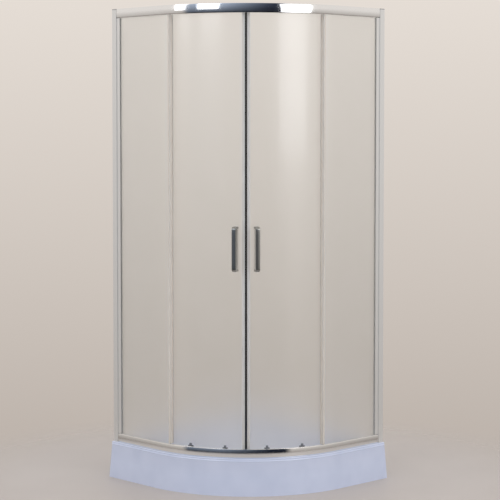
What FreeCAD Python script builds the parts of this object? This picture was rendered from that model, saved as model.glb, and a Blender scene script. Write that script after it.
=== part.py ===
"""Quadrant shower enclosure on an acrylic tray: two fixed glass sides, two curved sliding doors.

Millimetres, +Z up.  The origin lies on the floor under the middle of the tray's square footprint.
The room's corner is at (-x, +y): one wall is the plane x = -tray_side/2, the other y = +tray_side/2.
Plan shapes are given by r, the distance from the vertical axis of the curved front, and by a, the
angle from the doors' seam in degrees, or u, the distance from the wall.  The right half, beside the
+y wall, is modelled first and the left half is its mirror image in the vertical plane of the seam.
"""

import FreeCAD, Part

import math
import os

# ---- driving dimensions -------------------------------------------------------------------------
tray_side = 890.0  # footprint along each wall, at the floor
skirt_lean = 18.0  # how far the skirt leans in from the floor to the rim
tray_height = 160.0
tray_wall = 4.0  # acrylic and its backing
rim_edge_radius = 6.0
wall_edge_height = 60.0  # of the rim's turned-down edge beside the walls, open below for the waste pipe
wall_edge_return = 60.0  # how far the skirt goes on along the walls, and at the corner post
basin_wall_gap = 46.0  # rim between a wall and the basin
basin_front_gap = 82.0  # rim between the basin and the skirt
basin_corner_radius = 45.0
basin_draft = 12.0  # how far the basin's sides lean in
basin_floor_height = 108.0
floor_board = 10.0  # laminate under the basin
dish_depth = 4.0  # fall of the basin floor to the drain
dish_radius = 240.0
drain_from_walls = 300.0
drain_hole_radius = 44.0
drain_seat_radius = 62.0

screen_inset = 10.0  # of the rails' outer face, from the rim's outer edge
screen_height = 1950.0
rail_radius = 550.0  # outer face of the rails along the curved front
top_rail_height = 40.0
bottom_rail_height = 38.0
rail_bulge = 1.2
rail_skin = 2.0
lip_skin = 1.5
rail_depth = 42.0  # top rail, front to back
slot_depth = 14.0  # how deep the rails hold the fixed glass
track_width = 12.0
top_track_height = 6.0  # above the top rail's lower edge
top_lip = 4.0
bottom_lip = 5.0

glass_thickness = 5.0
glass_gasket = 1.5
fixed_edge_angle = 38.0  # free edge of the fixed glass, from the seam
door_overlap_angle = 1.3  # how far a door goes on behind the fixed glass
lip_to_door_fittings = 4.5
fitting_plate = 2.5
door_floor_gap = 6.0
door_top_gap = 4.0

wall_profile_depth = 29.0  # seen along the wall's normal
wall_profile_skin = 1.8
telescope_gap = 0.3
glazing_start = 8.0
glazing_end = 51.0
glazing_groove = 14.0
cap_height = 4.0
rail_end_from_wall = 30.5
wall_screw_radius = 3.0
screw_end_gap = 200.0  # from a profile's end to its nearest screw
wall_screw_count = 4
side_screw_count = 3
side_screw_radius = 1.9

roller_angles = (10.0, 27.7)  # of a door's two roller pairs, from the seam
door_travel_angle = 26.0
top_wheel_radius = 11.0
bottom_wheel_radius = 10.0
wheel_width = 5.0
wheel_side_gap = 1.8  # from the track's lip
wheel_track_gap = 0.3
running_fit = 0.05
top_axle_radius = 3.0
bottom_axle_radius = 2.5
stud_radius = 4.0
stud_hole_radius = 7.0
stud_flange_radius = 9.0
lift_travel = 6.0
button_width = 10.0
button_height = 9.0

handle_length = 194.0
handle_width = 18.0
handle_thickness = 9.0
handle_reach = 38.0
handle_bend = 14.0
handle_height = 901.0  # of its middle, above the tray's rim
handle_offset = 42.0  # of its feet, from the seam
handle_lean = 12.0  # degrees by which the bow leans away from the seam
handle_bolt_radius = 3.0
handle_washer = 0.8

seal_skin = 1.0
seal_grip = 12.0
seal_rise = 4.0  # of the meeting seals above the top rail's lower edge, behind it
magnet_width = 4.6
magnet_half_gap = 0.3
seal_fin = 14.0

# ---- what follows from them ---------------------------------------------------------------------
wall = tray_side / 2  # the walls' distance from the origin
tray_top_side = tray_side - skirt_lean
basin_side = tray_top_side - basin_front_gap  # from the wall to the basin's front edge
screen_side = tray_top_side - screen_inset  # from the wall to the outer face of the rails
centre_from_wall = screen_side - rail_radius
cx = -wall + centre_from_wall
cy = wall - centre_from_wall
rim = tray_height
top = rim + screen_height
rail_low = top - top_rail_height  # lower edge of the top rail
rail_high = rim + bottom_rail_height  # upper edge of the bottom rail

leg_in = rail_radius - rail_bulge - rail_skin  # inner side of a rail's front leg
fixed_out = leg_in - glass_gasket
fixed_in = fixed_out - glass_thickness
slot_in = fixed_in - glass_gasket
track_out = slot_in - rail_skin
track_in = track_out - track_width
lip_in = track_in - lip_skin
plate_out = lip_in - lip_to_door_fittings
door_out = plate_out - fitting_plate
door_in = door_out - glass_thickness
rail_back = rail_radius - rail_depth

fixed_low = rim + bottom_rail_height - slot_depth + glass_gasket
fixed_high = rail_low + slot_depth - glass_gasket
door_low = rim + door_floor_gap
door_high = top - rail_skin - door_top_gap

wheel_in = track_in + wheel_side_gap
wheel_out = wheel_in + wheel_width
wheel_mid = (wheel_in + wheel_out) / 2
top_wheel_z = rail_low + top_track_height + wheel_track_gap + top_wheel_radius
bottom_wheel_z = rim + rail_skin + wheel_track_gap + bottom_wheel_radius
track_radius = wheel_mid

door_edge_angle = math.degrees((magnet_half_gap + magnet_width + seal_skin) / door_out)
door_tail_angle = fixed_edge_angle + door_overlap_angle


def degrees_of(length):
    """The angle, in degrees, that a length takes on the doors' outer face."""
    return math.degrees(length / door_out)


# ---- helpers ------------------------------------------------------------------------------------
def vec(x, y, z=0.0):
    return FreeCAD.Vector(x, y, z)


UP = vec(0, 0, 1)


def outline(points, to_point):
    """A closed face through points; an item (middle, end) is an arc to end through middle."""
    edges = []
    here = points[0]
    for item in points[1:] + [points[0]]:
        if isinstance(item[0], tuple):
            middle, end = item
            arc = Part.Arc(to_point(*here), to_point(*middle), to_point(*end))
            edges.append(arc.toShape())
            here = end
        elif item != here:
            edges.append(Part.makeLine(to_point(*here), to_point(*item)))
            here = item
    return Part.Face(Part.Wire(edges))


def box_points(a0, a1, b0, b1):
    return [(a0, b0), (a1, b0), (a1, b1), (a0, b1)]


def sector(points, angle_from, angle_to):
    """A section in r and z, turned about the curve's axis from one angle to another."""
    face = outline(points, lambda r, z: vec(r, 0, z))
    solid = face.revolve(vec(0, 0, 0), UP, angle_to - angle_from)
    return at_angle(solid, angle_from)


def at_angle(shape, angle):
    """Takes a shape drawn with r along +x, about the curve's axis, to its angle from the seam."""
    placed = shape.copy()
    placed.rotate(vec(0, 0, 0), UP, angle - 45.0)
    placed.translate(vec(cx, cy))
    return placed


def straight(points, u_from, u_to):
    """A section in r and z, run along the fixed side from one distance off the wall to another."""
    face = outline(points, lambda r, z: vec(cx + r, wall - u_from, z))
    return face.extrude(vec(0, u_from - u_to))


def upright(points, z_from, z_to):
    """A plan section in r and u, beside the wall, run upwards."""
    face = outline(points, lambda r, u: vec(cx + r, wall - u, z_from))
    return face.extrude(vec(0, 0, z_to - z_from))


def block(r_from, r_to, t_from, t_to, z_from, z_to):
    """A box with its sides along r, across it and up, still to be placed at an angle."""
    corner = vec(r_from, t_from, z_from)
    return Part.makeBox(r_to - r_from, t_to - t_from, z_to - z_from, corner)


def spoke(radius, r_from, r_to, z):
    """A cylinder along r, still to be placed at an angle."""
    return Part.makeCylinder(radius, r_to - r_from, vec(r_from, 0, z), vec(1, 0, 0))


def ring(r_from, r_to, z_from, z_to):
    """A full ring about the curve's axis, which cuts fittings to the doors' curve."""
    outer = Part.makeCylinder(r_to, z_to - z_from, vec(0, 0, z_from))
    return outer.cut(Part.makeCylinder(r_from, z_to - z_from, vec(0, 0, z_from)))


def disc(radius, r_from, r_to, z):
    """A round plate that lies on a curved glass, from one radius to the next."""
    stub = spoke(radius, r_from - 2.0, r_to + 2.0, z)
    return stub.common(ring(r_from, r_to, z - radius - 1.0, z + radius + 1.0))


def fused(shapes):
    body = shapes[0]
    for shape in shapes[1:]:
        body = body.fuse(shape)
    return body.removeSplitter()


def mirrored(shape):
    """The same piece in the left half."""
    return shape.mirror(vec(0, 0, 0), vec(1, 1, 0))


def along_front(points):
    """A section in r and z along the whole front: straight, a quarter turn, straight."""
    run = straight(points, rail_end_from_wall, centre_from_wall)
    return fused([run, sector(points, -45.0, 45.0), mirrored(run)])


def write(name, shape):
    solids = shape.Solids
    body = solids[0] if len(solids) == 1 else Part.makeCompound(solids)
    body.exportStep(os.path.join("parts", name + ".step"))


def write_pair(name, shape):
    write(name + "_right", shape)
    write(name + "_left", mirrored(shape))


def write_both(name, shapes):
    """One node for a set of like pieces in both halves."""
    write(name, Part.makeCompound(shapes + [mirrored(shape) for shape in shapes]))


def door_pivot():
    """The vertical axis that takes both rollers of the right door from shut to open on their track.

    Worked out with the seam along +x.  Each roller's place at the end lies on the track: an arc up
    to 45 degrees and then the straight side.  The centre of that turn is found from the two places.
    """
    quarter = math.radians(45.0)

    def on_track(angle):
        if angle <= quarter:
            return track_radius * math.cos(angle), track_radius * math.sin(angle)
        run = track_radius * (angle - quarter)
        x = track_radius * math.cos(quarter) - run * math.sin(quarter)
        y = track_radius * math.sin(quarter) + run * math.cos(quarter)
        return x, y

    lead_angle, trail_angle = (math.radians(angle) for angle in roller_angles)
    lead_shut = on_track(lead_angle)
    trail_shut = on_track(trail_angle)
    spacing = math.dist(lead_shut, trail_shut)
    end_angle = lead_angle + math.radians(door_travel_angle)
    lead_open = on_track(end_angle)
    low = end_angle + 0.5 * spacing / track_radius
    high = end_angle + 1.5 * spacing / track_radius
    for _ in range(60):
        middle = (low + high) / 2
        if math.dist(on_track(middle), lead_open) < spacing:
            low = middle
        else:
            high = middle
    trail_open = on_track(low)
    shut = math.atan2(trail_shut[1] - lead_shut[1], trail_shut[0] - lead_shut[0])
    opened = math.atan2(trail_open[1] - lead_open[1], trail_open[0] - lead_open[0])
    turn = opened - shut
    mid_x = (lead_shut[0] + lead_open[0]) / 2
    mid_y = (lead_shut[1] + lead_open[1]) / 2
    half_cot = 0.5 / math.tan(turn / 2)
    pivot_x = mid_x - (lead_open[1] - lead_shut[1]) * half_cot
    pivot_y = mid_y + (lead_open[0] - lead_shut[0]) * half_cot
    return pivot_x, pivot_y, math.degrees(turn), trail_open


os.makedirs("parts", exist_ok=True)


# ---- tray: acrylic shell with a skirt to the floor and a sunk basin ------------------------------
def quadrant(gap, side, z):
    """The plan outline with a curved front: gap is its distance from both walls."""
    back = vec(-wall + gap, wall - gap, z)
    right_back = vec(-wall + side, wall - gap, z)
    right_front = vec(-wall + side, cy, z)
    left_front = vec(cx, wall - side, z)
    left_back = vec(-wall + gap, wall - side, z)
    reach = (side - centre_from_wall) * math.sqrt(0.5)
    front = vec(cx + reach, cy - reach, z)
    edges = [
        Part.makeLine(back, right_back),
        Part.makeLine(right_back, right_front),
        Part.Arc(right_front, front, left_front).toShape(),
        Part.makeLine(left_front, left_back),
        Part.makeLine(left_back, back),
    ]
    return Part.Wire(edges)


def basin_outline(grow, z):
    """The basin's outline, with rounded corners, made larger or smaller all round."""
    inner = quadrant(basin_wall_gap + basin_corner_radius, basin_side - basin_corner_radius, z)
    return Part.Face(inner).makeOffset2D(basin_corner_radius + grow).OuterWire


def tray():
    body = Part.makeLoft([quadrant(0, tray_side, 0), quadrant(0, tray_top_side, rim)], True, True)
    front_edges = [e for e in body.Edges if front_rim_edge(e)]
    body = body.makeFillet(rim_edge_radius, front_edges)
    low_side = tray_side - tray_wall
    high_side = tray_top_side - tray_wall
    under = [quadrant(tray_wall, low_side, 0), quadrant(tray_wall, high_side, rim - tray_wall)]
    hollow = Part.makeLoft(under, True, True)
    floor_under = basin_floor_height - floor_board
    shell = [
        basin_outline(tray_wall - basin_draft, floor_under),
        basin_outline(tray_wall, rim - tray_wall),
    ]
    hollow = hollow.cut(Part.makeLoft(shell, True, True))
    body = body.cut(hollow)
    sunk = [basin_outline(-basin_draft, basin_floor_height), basin_outline(0, rim)]
    basin = Part.makeLoft(sunk, True, True)
    floor_edges = [e for e in basin.Edges if flat_at(e, basin_floor_height)]
    basin = basin.makeFillet(basin_draft, floor_edges)
    body = body.cut(basin)
    dish = Part.makeCone(
        drain_seat_radius,
        dish_radius,
        dish_depth,
        vec(drain_x, drain_y, basin_floor_height - dish_depth),
    )
    body = body.cut(dish)
    hole = Part.makeCylinder(drain_hole_radius, rim, vec(drain_x, drain_y, 0))
    body = body.cut(hole)
    open_length = tray_side - skirt_lean - 2 * wall_edge_return
    wall_opening = Part.makeBox(
        open_length,
        2 * tray_wall,
        rim - wall_edge_height,
        vec(-wall + wall_edge_return, wall - tray_wall, 0),
    )
    return body.cut(wall_opening).cut(mirrored(wall_opening))


def flat_at(edge, z):
    box = edge.BoundBox
    return abs(box.ZMin - z) < 0.01 and abs(box.ZMax - z) < 0.01


def front_rim_edge(edge):
    """The rim's outer edge along the front, not along the walls."""
    box = edge.BoundBox
    at_wall = box.XMax < -wall + 1.0 or box.YMin > wall - 1.0
    return flat_at(edge, rim) and not at_wall


drain_x = -wall + drain_from_walls
drain_y = wall - drain_from_walls
write("tray", tray())

# ---- frame under the tray: square steel tubes, with levelling feet -------------------------------
tube_size = 25.0
tube_skin = 2.0
tube_top = basin_floor_height - floor_board
tube_low = tube_top - tube_size
beam_from_drain = 170.0  # between the drain's axis and the middle of the beams beside it
beam_near = drain_from_walls - beam_from_drain
beam_far = drain_from_walls + beam_from_drain
beam_from = 60.0
beam_to = basin_side - 30.0
cross_far = beam_to - 160.0
front_beam_u = drain_from_walls + 100.0
front_beam_end = basin_side - 70.0
foot_inset = 100.0
foot_pad_radius = 20.0
foot_pad_height = 12.0
foot_stud_radius = 5.0
foot_stud_grip = 17.0


def from_walls(u, v, z):
    """A point u from the left wall and v from the right wall."""
    return vec(-wall + u, wall - v, z)


def tube(u_from, u_to, v_from, v_to, along_u):
    """A square tube between two distances from each wall, open at its ends."""
    size = [u_to - u_from, v_to - v_from, tube_size]
    outer = Part.makeBox(*size, from_walls(u_from, v_to, tube_low))
    skin_u = 0 if along_u else tube_skin
    skin_v = tube_skin if along_u else 0
    size = [size[0] - 2 * skin_u, size[1] - 2 * skin_v, tube_size - 2 * tube_skin]
    start = from_walls(u_from + skin_u, v_to - skin_v, tube_low + tube_skin)
    return outer.cut(Part.makeBox(*size, start))


half = tube_size / 2
beams = [tube(beam_from, beam_to, v - half, v + half, True) for v in (beam_near, beam_far)]
crosses = [
    tube(u - half, u + half, beam_near + half, beam_far - half, False)
    for u in (beam_near, cross_far)
]
front_beam = tube(front_beam_u - half, front_beam_u + half, beam_far + half, front_beam_end, False)
frame = fused(beams + crosses + [front_beam])
foot_places = [
    (beam_from + foot_inset, beam_near),
    (beam_to - foot_inset, beam_near),
    (beam_from + foot_inset, beam_far),
    (beam_to - foot_inset, beam_far),
    (front_beam_u, front_beam_end - half * 2),
]
feet = []
for u, v in foot_places:
    pad = Part.makeCylinder(foot_pad_radius, foot_pad_height, from_walls(u, v, 0))
    pad = pad.makeChamfer(2.0, [pad.Edges[0]])
    stud_length = tube_low + foot_stud_grip - foot_pad_height
    stud = Part.makeCylinder(foot_stud_radius, stud_length, from_walls(u, v, foot_pad_height))
    feet.append(pad.fuse(stud))
    frame = frame.cut(stud)
write("tray_frame", frame)
write("tray_feet", Part.makeCompound(feet))

# ---- drain: flange, gasket, trap and lift-off cover ----------------------------------------------
seat_z = basin_floor_height - dish_depth
flange_thickness = 2.5
flange_radius = 55.0
neck_in = 36.0
neck_out = 42.0
neck_low = 80.0
gasket_thickness = 2.0
trap_radius = 54.0
trap_skin = 3.0
trap_low = 20.0
spigot_radius = 20.0
spigot_bore = 18.0
spigot_z = 50.0
spigot_end = 112.0  # from the drain's axis
collar_radius = 25.0
collar_end = 58.0  # flat shoulder that the waste pipe comes up to


def tube_at_drain(r_in, r_out, z_from, z_to):
    base = vec(drain_x, drain_y, z_from)
    outer = Part.makeCylinder(r_out, z_to - z_from, base)
    return outer.cut(Part.makeCylinder(r_in, z_to - z_from, base))


flange = fused(
    [
        tube_at_drain(neck_in, flange_radius, seat_z, seat_z + flange_thickness),
        tube_at_drain(neck_in, neck_out, neck_low, seat_z),
    ]
)
write("drain_flange", flange)
trap_top = tube_top - gasket_thickness
write("drain_gasket", tube_at_drain(neck_out, trap_radius, trap_top, tube_top))

drain_axis = vec(drain_x, drain_y, trap_low)
trap = Part.makeCylinder(trap_radius, trap_top - trap_low, drain_axis)
spigot_base = vec(drain_x, drain_y, spigot_z)
spigot = Part.makeCylinder(spigot_radius, spigot_end, spigot_base, vec(-1, 0, 0))
collar = Part.makeCylinder(collar_radius, collar_end, spigot_base, vec(-1, 0, 0))
trap = fused([trap, spigot, collar])
chamber_radius = trap_radius - trap_skin
chamber_top = neck_low - trap_skin
chamber_base = vec(drain_x, drain_y, trap_low + trap_skin)
trap = trap.cut(Part.makeCylinder(chamber_radius, chamber_top - trap_low - trap_skin, chamber_base))
trap = trap.cut(Part.makeCylinder(neck_out, trap_top - chamber_top, vec(drain_x, drain_y, chamber_top)))
trap = trap.cut(Part.makeCylinder(spigot_bore, spigot_end, spigot_base, vec(-1, 0, 0)))
write("drain_trap", trap)

cover_radius = 54.0
cover_gap = 0.3
cover_pad_height = 3.0
cover_thickness = 3.0
cover_edge_radius = 2.0
cover_ring_gap = 0.6
cover_ring_skin = 2.5
cover_low = seat_z + flange_thickness + cover_gap
plate_low = cover_low + cover_pad_height
plate_high = plate_low + cover_thickness
plate = Part.makeCylinder(cover_radius, cover_thickness, vec(drain_x, drain_y, plate_low))
pieces = [plate.makeFillet(cover_edge_radius, [e for e in plate.Edges if flat_at(e, plate_high)])]
ring_out = neck_in - cover_ring_gap
pieces.append(tube_at_drain(ring_out - cover_ring_skin, ring_out, neck_low, plate_low))
for quarter_turn in range(4):
    pad = Part.makeBox(8.0, 6.0, cover_pad_height, vec(ring_out - 1.0, -3.0, cover_low))
    pad.rotate(vec(0, 0, 0), UP, 45.0 + 90.0 * quarter_turn)
    pad.translate(vec(drain_x, drain_y))
    pieces.append(pad)
cover = fused(pieces)
for quarter_turn in range(4):
    window = Part.makeBox(60.0, 22.0, 16.0, vec(0, -11.0, neck_low))
    window.rotate(vec(0, 0, 0), UP, 90.0 * quarter_turn)
    window.translate(vec(drain_x, drain_y))
    cover = cover.cut(window)
write("drain_cover", cover)

# ---- wall profile, and the glazing profile that slides in it -------------------------------------
inner_leg_out = slot_in - 4.0
outer_leg_in = rail_radius - wall_profile_skin
inner_leg_in = inner_leg_out - wall_profile_skin
glazing_in = inner_leg_out + telescope_gap
glazing_out = outer_leg_in - telescope_gap
profile_high = top - cap_height


def screw_rows(count):
    """The heights of screws spread evenly over a profile."""
    step = (screen_height - 2 * screw_end_gap) / (count - 1)
    return [rim + screw_end_gap + step * row for row in range(count)]


wall_profile = upright(
    [
        (inner_leg_in, 0),
        (rail_radius, 0),
        (rail_radius, wall_profile_depth),
        (outer_leg_in, wall_profile_depth),
        (outer_leg_in, wall_profile_skin),
        (inner_leg_out, wall_profile_skin),
        (inner_leg_out, wall_profile_depth),
        (inner_leg_in, wall_profile_depth),
    ],
    rim,
    profile_high,
)
profile_mid = (inner_leg_out + outer_leg_in) / 2
for z in screw_rows(wall_screw_count):
    base = vec(cx + profile_mid, wall, z)
    hole = Part.makeCylinder(wall_screw_radius, wall_profile_skin * 2, base, vec(0, -1, 0))
    wall_profile = wall_profile.cut(hole)

groove_floor = glazing_end - glazing_groove
chamber_skin = 1.8
proud_front = 1.1  # the glazing profile's front strip stands proud of what telescopes
glazing_low = rail_high + rail_skin
glazing_high = rail_low - rail_skin
glazing_profile = upright(
    [
        (glazing_in, glazing_start),
        (glazing_out, glazing_start),
        (glazing_out, groove_floor),
        (glazing_out + proud_front, groove_floor),
        (glazing_out + proud_front, glazing_end),
        (leg_in, glazing_end),
        (leg_in, groove_floor),
        (slot_in, groove_floor),
        (slot_in, glazing_end),
        (glazing_in, glazing_end),
    ],
    glazing_low,
    glazing_high,
)
chamber = box_points(
    glazing_in + chamber_skin,
    glazing_out - chamber_skin,
    glazing_start + chamber_skin,
    groove_floor - chamber_skin,
)
glazing_profile = glazing_profile.cut(upright(chamber, glazing_low, glazing_high))

screw_u = 22.0
screw_head_radius = 4.0
screw_head_height = 2.4
screw_reach = 6.0
side_screws = []
for z in screw_rows(side_screw_count):
    base = vec(cx + inner_leg_in, wall - screw_u, z)
    shank = Part.makeCylinder(side_screw_radius, screw_reach, base, vec(1, 0, 0))
    head = Part.makeCylinder(screw_head_radius, screw_head_height, base, vec(-1, 0, 0))
    wall_profile = wall_profile.cut(shank)
    glazing_profile = glazing_profile.cut(shank)
    side_screws.append(shank.fuse(head))
write_pair("wall_profile", wall_profile)
write_pair("glazing_profile", glazing_profile)
write_both("profile_screws", side_screws)

cap = upright(box_points(inner_leg_in, rail_radius, 0, wall_profile_depth), profile_high, top)
cap = cap.makeFillet(1.5, [e for e in cap.Edges if flat_at(e, top)][1:2])
write_both("profile_caps", [cap])

# ---- rails: one aluminium extrusion each, bent round the front -----------------------------------
slot_roof = rail_low + slot_depth
top_floor = rail_low + top_track_height
edge_out = rail_radius - rail_bulge
top_section = [
    (edge_out, rail_low),
    ((rail_radius, rail_low + top_rail_height / 2), (edge_out, top)),
    (rail_back, top),
    (rail_back, top - rail_skin),
    (leg_in, top - rail_skin),
    (leg_in, slot_roof + rail_skin),
    (track_out, slot_roof + rail_skin),
    (track_out, top_floor),
    (track_in, top_floor),
    (track_in, top_floor + top_lip),
    (lip_in, top_floor + top_lip),
    (lip_in, top_floor - rail_skin),
    (track_out, top_floor - rail_skin),
    (track_out, rail_low),
    (slot_in, rail_low),
    (slot_in, slot_roof),
    (leg_in, slot_roof),
    (leg_in, rail_low),
]
slot_floor = rail_high - slot_depth
bottom_floor = rim + rail_skin
bottom_section = [
    (edge_out, rim),
    ((rail_radius, rim + bottom_rail_height / 2), (edge_out, rail_high)),
    (leg_in, rail_high),
    (leg_in, slot_floor),
    (slot_in, slot_floor),
    (slot_in, rail_high),
    (track_out, rail_high),
    (track_out, bottom_floor),
    (track_in, bottom_floor),
    (track_in, bottom_floor + bottom_lip),
    (lip_in, bottom_floor + bottom_lip),
    (lip_in, rim),
]
bottom_chamber = box_points(slot_in, leg_in, bottom_floor, slot_floor - rail_skin)
top_rail = along_front(top_section)
bottom_rail = along_front(bottom_section).cut(along_front(bottom_chamber))

# ---- end blocks: each joins a rail's end to the wall profile and caps the glazing profile --------
plug_end = 60.0
plug_back = 20.0  # how far the upper plug goes in behind the front leg
neck_u = rail_end_from_wall - telescope_gap
tongue = box_points(glazing_in, glazing_out, glazing_start, neck_u)
ledge = box_points(glazing_in, glazing_out, neck_u, groove_floor)
upper_plug = box_points(leg_in - plug_back, leg_in, neck_u, plug_end)
lower_plug = box_points(slot_in, leg_in, neck_u, plug_end)
upper_block = fused(
    [
        upright(tongue, glazing_high, profile_high),
        upright(ledge, glazing_high, rail_low),
        upright(upper_plug, slot_roof + rail_skin, top - rail_skin),
    ]
)
lower_block = fused(
    [
        upright(tongue, rim, glazing_low),
        upright(ledge, rail_high, glazing_low),
        upright(lower_plug, bottom_floor, slot_floor - rail_skin),
    ]
)

rail_screw_u = 45.0
rail_screw_length = 16.0
sink_radius = 4.0
sink_depth = rail_skin
top_screw_base = vec(cx + leg_in - plug_back / 2, wall - rail_screw_u, top)
top_screw = Part.makeCone(sink_radius, side_screw_radius, sink_depth, top_screw_base, vec(0, 0, -1))
top_screw = top_screw.fuse(
    Part.makeCylinder(side_screw_radius, rail_screw_length, top_screw_base, vec(0, 0, -1))
)
low_screw_z = (bottom_floor + slot_floor - rail_skin) / 2
low_screw_base = vec(cx + track_out, wall - rail_screw_u, low_screw_z)
low_screw = Part.makeCylinder(side_screw_radius, screw_reach, low_screw_base, vec(1, 0, 0))
low_head = Part.makeCylinder(screw_head_radius, screw_head_height, low_screw_base, vec(-1, 0, 0))
for screw in (top_screw, mirrored(top_screw)):
    top_rail = top_rail.cut(screw)
for screw in (low_screw, mirrored(low_screw)):
    bottom_rail = bottom_rail.cut(screw)
write("top_rail", top_rail)
write("bottom_rail", bottom_rail)
write_both("rail_end_blocks", [upper_block.cut(top_screw), lower_block.cut(low_screw)])
write_both("rail_screws", [top_screw, low_screw.fuse(low_head)])

# ---- fixed side: glass bent at its free end, gaskets and the free edge's seal --------------------
glass_start = groove_floor + glass_gasket
glass_section = box_points(fixed_in, fixed_out, fixed_low, fixed_high)
fixed_glass = fused(
    [
        straight(glass_section, glass_start, centre_from_wall),
        sector(glass_section, fixed_edge_angle, 45.0),
    ]
)
write_pair("fixed_glass", fixed_glass)


def glass_channel(z_from, z_to, glass_from, glass_to):
    """The gasket round the glass in a rail's slot: the slot's space without the glass."""
    slot = box_points(slot_in, leg_in, z_from, z_to)
    space = fused(
        [
            straight(slot, glazing_end, centre_from_wall),
            sector(slot, fixed_edge_angle, 45.0),
        ]
    )
    return space.cut(fixed_glass)


upper_gasket = glass_channel(rail_low, slot_roof, fixed_low, fixed_high)
lower_gasket = glass_channel(slot_floor, rail_high, fixed_low, fixed_high)
side_gasket = upright(
    box_points(slot_in, leg_in, groove_floor, glazing_end), glazing_low, glazing_high
).cut(fixed_glass)
write_both("fixed_glass_gaskets", [upper_gasket, lower_gasket, side_gasket])

seal_low = rail_high + 0.5
seal_high = rail_low - 0.5
edge_grip = sector(
    box_points(fixed_in - seal_skin, fixed_out + seal_skin, seal_low, seal_high),
    fixed_edge_angle - degrees_of(seal_skin),
    fixed_edge_angle + degrees_of(seal_grip / 2),
)
edge_fin = sector(
    box_points(fixed_in - seal_skin - seal_fin, fixed_in - seal_skin, seal_low, seal_high),
    fixed_edge_angle - degrees_of(seal_skin),
    fixed_edge_angle,
)
write_both("fixed_edge_seals", [fused([edge_grip, edge_fin]).cut(fixed_glass)])

# ---- doors: curved glass that hangs inside both rails --------------------------------------------
pivot_x, pivot_y, swing, trail_open = door_pivot()

door_glass = sector(
    box_points(door_in, door_out, door_low, door_high), door_edge_angle, door_tail_angle
)

seal_bottom = door_low + 1.0
seal_top = rail_low + seal_rise
magnet = sector(
    box_points(door_in - seal_skin, door_out + seal_skin, seal_bottom, seal_top),
    degrees_of(magnet_half_gap),
    degrees_of(magnet_half_gap + magnet_width),
)
magnetic_seal = sector(
    box_points(door_in - seal_skin, door_out + seal_skin, seal_bottom, seal_top),
    degrees_of(magnet_half_gap + magnet_width),
    degrees_of(magnet_half_gap + magnet_width + seal_grip),
).cut(door_glass)
tail_grip = sector(
    box_points(door_in - seal_skin, door_out + seal_skin, rail_high + 1.0, rail_low - 1.0),
    door_tail_angle - degrees_of(seal_grip / 2),
    door_tail_angle + degrees_of(seal_skin),
)
tail_fin = sector(
    box_points(door_out, door_out + seal_fin, rail_high + 1.0, rail_low - 1.0),
    door_tail_angle,
    door_tail_angle + degrees_of(seal_skin),
)
tail_seal = fused([tail_grip, tail_fin]).cut(door_glass)

# ---- handles: a chrome bow outside and a second inside, on two bolts through the glass ----------
handle_z = rim + handle_height
foot_angle = math.degrees(handle_offset / door_out)


def bow(face_r, outward):
    """The bow in its own plane, from the glass face outwards or inwards, still to be placed."""
    sign = 1.0 if outward else -1.0
    far = face_r + sign * handle_reach
    near = far - sign * handle_thickness
    root = face_r - sign * 4.0
    low = handle_z - handle_length / 2
    high = handle_z + handle_length / 2
    leg = handle_thickness * 1.2
    bend = handle_bend
    curve = bend * (1 - math.sqrt(0.5))
    small = bend - handle_thickness
    small_curve = small * (1 - math.sqrt(0.5))
    points = [
        (root, low),
        (far - sign * bend, low),
        ((far - sign * curve, low + curve), (far, low + bend)),
        (far, high - bend),
        ((far - sign * curve, high - curve), (far - sign * bend, high)),
        (root, high),
        (root, high - leg),
        (near - sign * small, high - leg),
        ((near - sign * small_curve, high - leg - small_curve), (near, high - leg - small)),
        (near, low + leg + small),
        ((near - sign * small_curve, low + leg + small_curve), (near - sign * small, low + leg)),
        (root, low + leg),
    ]
    face = outline(points, lambda r, z: vec(r, -handle_width / 2, z))
    solid = face.extrude(vec(0, handle_width))
    long_edges = [e for e in solid.Edges if abs(e.BoundBox.YMax - e.BoundBox.YMin) < 0.01]
    solid = solid.makeFillet(2.5, long_edges)
    solid.rotate(vec(face_r, 0, 0), UP, sign * handle_lean)
    return solid


clear = 20.0  # how far cutting shapes run past what they cut
inside_space = Part.makeCylinder(door_out + handle_washer, top)
outer_handle = at_angle(bow(door_out, True).cut(inside_space), foot_angle)
outside_space = ring(door_in - handle_washer, rail_radius + clear, 0, top)
inner_handle = at_angle(bow(door_in, False).cut(outside_space), foot_angle)

bolt_end = 12.0
washer_radius = 7.0
handle_sleeve_radius = 5.0
bolts = []
washers = []
leg_middle = handle_thickness * 0.6
for height in (handle_z - handle_length / 2 + leg_middle, handle_z + handle_length / 2 - leg_middle):
    bolt = spoke(handle_bolt_radius, door_in - bolt_end, door_out + bolt_end, height)
    outer_washer = disc(washer_radius, door_out, door_out + handle_washer, height)
    sleeve = disc(handle_sleeve_radius, door_in, door_out, height)
    inner_washer = disc(washer_radius, door_in - handle_washer, door_in, height)
    washer = fused([outer_washer, sleeve]).cut(bolt)
    bolts.append(at_angle(bolt, foot_angle))
    washers += [at_angle(washer, foot_angle), at_angle(inner_washer.cut(bolt), foot_angle)]
    door_glass = door_glass.cut(at_angle(sleeve, foot_angle))
for bolt in bolts:
    outer_handle = outer_handle.cut(bolt)
    inner_handle = inner_handle.cut(bolt)


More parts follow.
